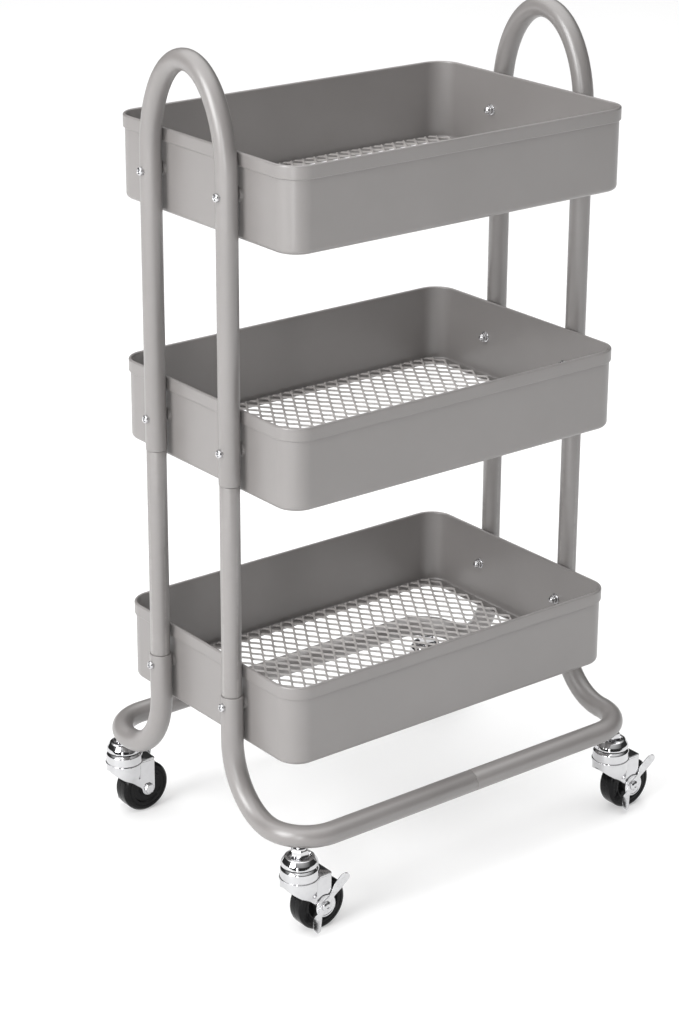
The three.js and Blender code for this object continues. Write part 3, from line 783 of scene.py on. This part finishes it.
def buildLever(corner, axle, side):
    tilt = math.radians(lever["angle"])
    along = Vector((math.cos(tilt), 0, math.sin(tilt)))
    across = Vector((-math.sin(tilt), 0, math.cos(tilt)))
    out = Vector((0, side, 0))
    rings = []
    for k in range(lever["stations"] + 1):
        share = (1 - math.cos(math.pi * k / lever["stations"])) / 2
        run = -lever["lower"] + (lever["upper"] + lever["lower"]) * share
        width, bow, standOut, hump = leverSection(run)
        ring = []
        for face in (1, -1):
            for j in range(7):
                spread = (j / 3 - 1) * face
                edge = lever["edge"] * max(0, abs(spread) - lever["edgeStart"]) / (1 - lever["edgeStart"])
                y = standOut + hump * (1 - spread * spread)
                y += lever["thickness"] - edge if face > 0 else edge
                ring.append(axle + along * run + across * (width * spread + bow) + out * y)
        rings.append(ring)
    form = Form().loft(rings, capped=True)
    hub = softened(raised(lever["hub"], lever["inner"]), closed=True, steps=3)
    form.turned(hub, Matrix.Translation(axle) @ turnTo((0, side, 0)), lever["hubSteps"], closed=True)
    form.piece(f"brakeRocker_{corner}", steel, f"brake_{corner}", "steel", [f"brake_lever_{corner}"],
               sharp=lever["sharp"])


for corner, end, side in corners:
    swivel, axle = jointAt[f"swivel_{corner}"], jointAt[f"roll_{corner}"]
    place = Matrix.Translation((swivel.x, swivel.y, 0))
    buildStem(corner, place)
    buildCheeks(corner, place)
    buildCrown(corner, place)
    buildWheel(corner, axle)
    buildAxle(corner, axle, side)
    buildLever(corner, axle, side)
print("casters are on")


# floor, light and camera; these sizes are in metres

studio = {
    "floorRadius": 14, "floorSteps": 96, "floorColour": (0.68, 0.68, 0.68), "floorShade": 0.985,
    "floorGlow": 0.33, "floorRoughness": 0.55, "roughClouds": 0.1, "cloudSize": 400,  # clouds in millimetres
    "aim": (0, 0, 0.35), "backdrop": 0.8,
    "skyStops": [(0.0, 0.03), (0.45, 0.05), (0.62, 0.45), (0.75, 0.95), (1.0, 1.25)],  # brightness by height
}
softboxes = {
    "keySoftbox": {"at": (-4.0, -0.45, 2.1), "size": (2.2, 2.9), "power": 182},
    "topSoftbox": {"at": (0.0, 0.6, 4.5), "size": (7.0, 7.0), "power": 160},
    "stripSoftbox": {"at": (-2.2, -1.85, 0.78), "size": (0.24, 1.45), "power": 17},
}


def buildFloorStage():
    work = bmesh.new()
    bmesh.ops.create_circle(work, cap_ends=True, segments=studio["floorSteps"], radius=studio["floorRadius"])
    ground = bpy.data.meshes.new("studioFloor")
    work.to_mesh(ground)
    work.free()
    finish = Finish("paleFloor", Specular_IOR_Level=0.2, Emission_Color=(1, 1, 1, 1),
                    Emission_Strength=studio["floorGlow"])
    clouds = finish.noise(studio["cloudSize"], 3, 0.5)
    white = studio["floorColour"]
    shade = tuple(studio["floorShade"] * part for part in white)
    roughness = studio["floorRoughness"] + clouds * studio["roughClouds"]
    ground.materials.append(finish.surface(finish.mix(clouds, shade, white), roughness))
    floor = bpy.data.objects.new("studioFloor", ground)
    bpy.context.scene.collection.objects.link(floor)


def buildSoftbox(name, at, size, power):
    lamp = bpy.data.lights.new(name, "AREA")
    lamp.shape, lamp.size, lamp.size_y, lamp.energy = "RECTANGLE", *size, power
    holder = bpy.data.objects.new(name, lamp)
    holder.location = at
    holder.rotation_mode = "QUATERNION"
    holder.rotation_quaternion = (Vector(studio["aim"]) - Vector(at)).to_track_quat("-Z", "Y")
    bpy.context.scene.collection.objects.link(holder)


def buildWorld():
    # plated metal mirrors a dim room with a bright ceiling; behind the floor a pale backdrop shows
    world = bpy.data.worlds.new("studioSky")
    world.use_nodes = True
    sky = Nodes(world.node_tree)
    room, output = sky.tree.nodes["Background"], sky.tree.nodes["World Output"]
    direction = sky.add("ShaderNodeTexCoord", output="Generated")
    height = sky.add("ShaderNodeSeparateXYZ", {}, {"Vector": direction}, output="Z")
    shade = sky.add("ShaderNodeValToRGB", {"stops": studio["skyStops"]}, {"Fac": height})
    sky.feed(room.inputs["Color"], shade)
    backdrop = sky.add("ShaderNodeBackground", {}, {"Strength": studio["backdrop"]})
    seenDirectly = sky.add("ShaderNodeLightPath", output="Is Camera Ray")
    sky.feed(output.inputs["Surface"], sky.add("ShaderNodeMixShader", {}, {
        0: seenDirectly, 1: Wire(sky, room.outputs["Background"]), 2: backdrop}))
    bpy.context.scene.world = world


view = {  # target and distance in millimetres, angles in degrees
    "target": (-21.5, 16.8, 368.5), "azimuth": -37.99, "elevation": 19.80, "roll": 0.28, "distance": 2229.9,
    "lens": 90.92, "sensor": 36, "shiftY": -0.0793, "clipStart": 0.05, "clipEnd": 60,
}


def buildCamera():
    lens = bpy.data.cameras.new("camera")
    lens.lens, lens.sensor_width, lens.shift_y = view["lens"], view["sensor"], view["shiftY"]
    lens.clip_start, lens.clip_end = view["clipStart"], view["clipEnd"]
    camera = bpy.data.objects.new("camera", lens)
    turn, rise = math.radians(view["azimuth"]), math.radians(view["elevation"])
    back = Vector((math.sin(turn) * math.cos(rise), -math.cos(turn) * math.cos(rise), math.sin(rise)))
    camera.location = (Vector(view["target"]) + back * view["distance"]) * mm
    camera.rotation_mode = "QUATERNION"
    roll = Matrix.Rotation(math.radians(view["roll"]), 3, "Z").to_quaternion()
    camera.rotation_quaternion = (-back).to_track_quat("-Z", "Y") @ roll
    bpy.context.scene.collection.objects.link(camera)
    bpy.context.scene.camera = camera


buildFloorStage()
buildWorld()
for name, settings in softboxes.items():
    buildSoftbox(name, **settings)
buildCamera()
bpy.context.scene.view_settings.view_transform = "Standard"
print("studio is lit")
